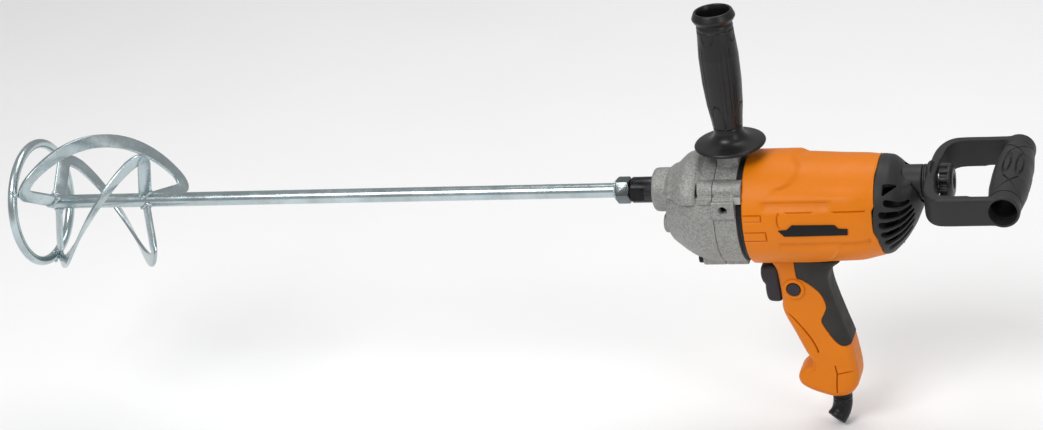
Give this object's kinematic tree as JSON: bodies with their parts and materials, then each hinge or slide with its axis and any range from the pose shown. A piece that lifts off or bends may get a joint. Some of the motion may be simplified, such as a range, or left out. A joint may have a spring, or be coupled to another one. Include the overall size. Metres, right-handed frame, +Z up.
{
  "type": "drill paint mixer",
  "caption": "Corded two-hand mixing drill with geared spindle, upright side handle, trigger grip, rear D-handle and a long rod ending in a helical stirring paddle with a ring.",
  "frame": {"origin": "middle of the bounding box, in the tool's vertical mid-plane 32.5 mm below the spindle axis", "axes": "+X along the spindle axis from the paddle to the rear handle, +Z up along the side handle, -Y the side with the lock button"},
  "size_m": [0.8946, 0.12, 0.3834],
  "materials": {
    "zinc_plate": "bright zinc plating with weld beads",
    "black_steel": "black oxide",
    "machined_steel": "machined",
    "cast_aluminium": "sand-cast, silver paint with a coarse grain",
    "orange_plastic": "fine moulded texture",
    "charcoal_plastic": "satin moulded",
    "black_plastic": "satin moulded",
    "rubber": "soft-touch",
    "laminated_steel": "laminated sheet",
    "copper": "enamelled copper",
    "brass": "pressed sheet",
    "carbon": "pressed carbon"
  },
  "bodies": {
    "tool_body": {"spindle_front_bearing": "machined_steel", "spindle_rear_bearing": "machined_steel", "countershaft_front_bearing": "machined_steel", "countershaft_rear_bearing": "machined_steel", "gearcase_screw_1": "machined_steel", "gearcase_screw_2": "machined_steel", "gearcase_screw_3": "machined_steel", "gearcase_screw_4": "machined_steel", "armature_front_bearing": "machined_steel", "armature_rear_bearing": "machined_steel", "grip_screw_1": "machined_steel", "grip_screw_2": "machined_steel", "grip_screw_3": "machined_steel", "gearbox_front_cover": "cast_aluminium", "gearbox_rear_case": "cast_aluminium", "motor_housing": "orange_plastic", "grip_left_shell": "orange_plastic", "grip_right_shell": "orange_plastic", "rear_cover": "charcoal_plastic", "rear_collar": "charcoal_plastic", "motor_adapter_plate": "black_plastic", "switch_body": "black_plastic", "cable_clamp": "black_plastic", "badge_strip": "black_plastic", "grip_overmould": "rubber", "strain_relief_boot": "rubber", "spindle_seal": "rubber", "stator_core": "laminated_steel", "field_coil_1": "copper", "field_coil_2": "copper", "brush_holder_left": "brass", "brush_holder_right": "brass", "carbon_brush_left": "carbon", "carbon_brush_right": "carbon"},
    "spindle_and_paddle": {"paddle_ring": "zinc_plate", "paddle_blade_1": "zinc_plate", "paddle_blade_2": "zinc_plate", "paddle_blade_3": "zinc_plate", "paddle_shaft": "zinc_plate", "paddle_hex_adapter": "zinc_plate", "output_spindle": "black_steel", "output_gear": "machined_steel"},
    "countershaft": {"countershaft": "machined_steel", "countershaft_gear": "machined_steel"},
    "armature": {"armature_shaft": "machined_steel", "armature_core": "laminated_steel", "commutator": "copper", "cooling_fan": "black_plastic"},
    "trigger": {"trigger": "black_plastic"},
    "lock_button": {"lock_button": "black_plastic"},
    "side_handle": {"side_handle_grip": "charcoal_plastic", "side_handle_stud": "machined_steel"},
    "rear_handle": {"rear_handle_frame": "charcoal_plastic", "rear_handle_grip": "charcoal_plastic"},
    "rear_knob": {"rear_handle_bolt": "machined_steel", "rear_handle_knob": "black_plastic"}
  },
  "joints": [
    {"name": "spindle_spin", "type": "hinge", "parent": "tool_body", "child": "spindle_and_paddle", "pos_m": [0.1142, 0, 0.0325], "axis": [1, 0, 0], "continuous": true},
    {"name": "countershaft_spin", "type": "hinge", "parent": "tool_body", "child": "countershaft", "pos_m": [0.1742, 0, -0.0025], "axis": [1, 0, 0], "continuous": true},
    {"name": "armature_spin", "type": "hinge", "parent": "tool_body", "child": "armature", "pos_m": [0.2642, 0, 0.0155], "axis": [1, 0, 0], "continuous": true},
    {"name": "trigger_pull", "type": "slide", "parent": "tool_body", "child": "trigger", "axis": [1, 0, 0], "range_m": [0, 0.007], "stiffness_N_per_m": 900, "springref_m": -0.003},
    {"name": "lock_button_press", "type": "slide", "parent": "tool_body", "child": "lock_button", "axis": [0, 1, 0], "range_m": [0, 0.003], "stiffness_N_per_m": 400, "springref_m": -0.002},
    {"name": "side_handle_turn", "type": "hinge", "parent": "tool_body", "child": "side_handle", "pos_m": [0.2042, 0, 0.0925], "axis": [0, 0, 1], "continuous": true},
    {"name": "rear_handle_turn", "type": "hinge", "parent": "tool_body", "child": "rear_handle", "pos_m": [0.3692, 0, 0.0345], "axis": [1, 0, 0], "range_deg": [-90, 90]},
    {"name": "rear_knob_turn", "type": "hinge", "parent": "tool_body", "child": "rear_knob", "pos_m": [0.3792, 0, 0.0345], "axis": [1, 0, 0], "range_deg": [0, 360]}
  ],
  "couplings": [
    {"joint": "countershaft_spin", "follows": "spindle_spin", "ratio": -2.3333},
    {"joint": "armature_spin", "follows": "spindle_spin", "ratio": 14}
  ]
}
